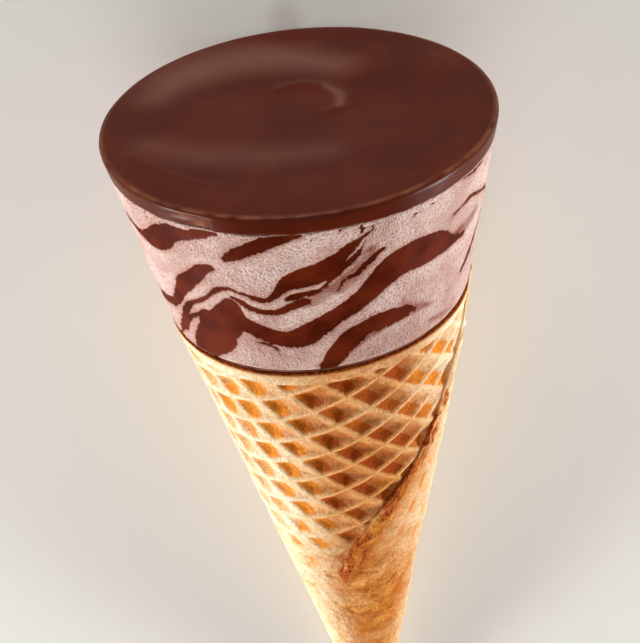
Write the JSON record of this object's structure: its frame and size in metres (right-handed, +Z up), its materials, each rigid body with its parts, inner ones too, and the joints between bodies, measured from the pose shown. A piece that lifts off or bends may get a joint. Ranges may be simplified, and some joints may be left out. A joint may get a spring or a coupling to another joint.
{
  "type": "ice cream cone",
  "caption": "Rolled waffle cone filled with rippled ice cream and topped by a flat chocolate disc, lying on its side.",
  "frame": {"origin": "middle of the footprint of the lying cone, on the surface it lies on", "axes": "+Z up out of the side that shows, +Y towards the chocolate disc, the point towards -Y, +X to the right of the seam's side"},
  "size_m": [0.0598, 0.1378, 0.0588],
  "materials": {
    "wafer": "dry baked sugar wafer, matt with a faint sugary sheen",
    "lining": "thin set chocolate",
    "ice_cream": "frozen airy cream with glossy sauce ripples",
    "chocolate": "smooth set milk chocolate, softly glossy"
  },
  "bodies": {
    "root": {"wafer_cone": "wafer", "chocolate_lining": "lining", "ice_cream": "ice_cream", "chocolate_disc": "chocolate"}
  },
  "joints": []
}
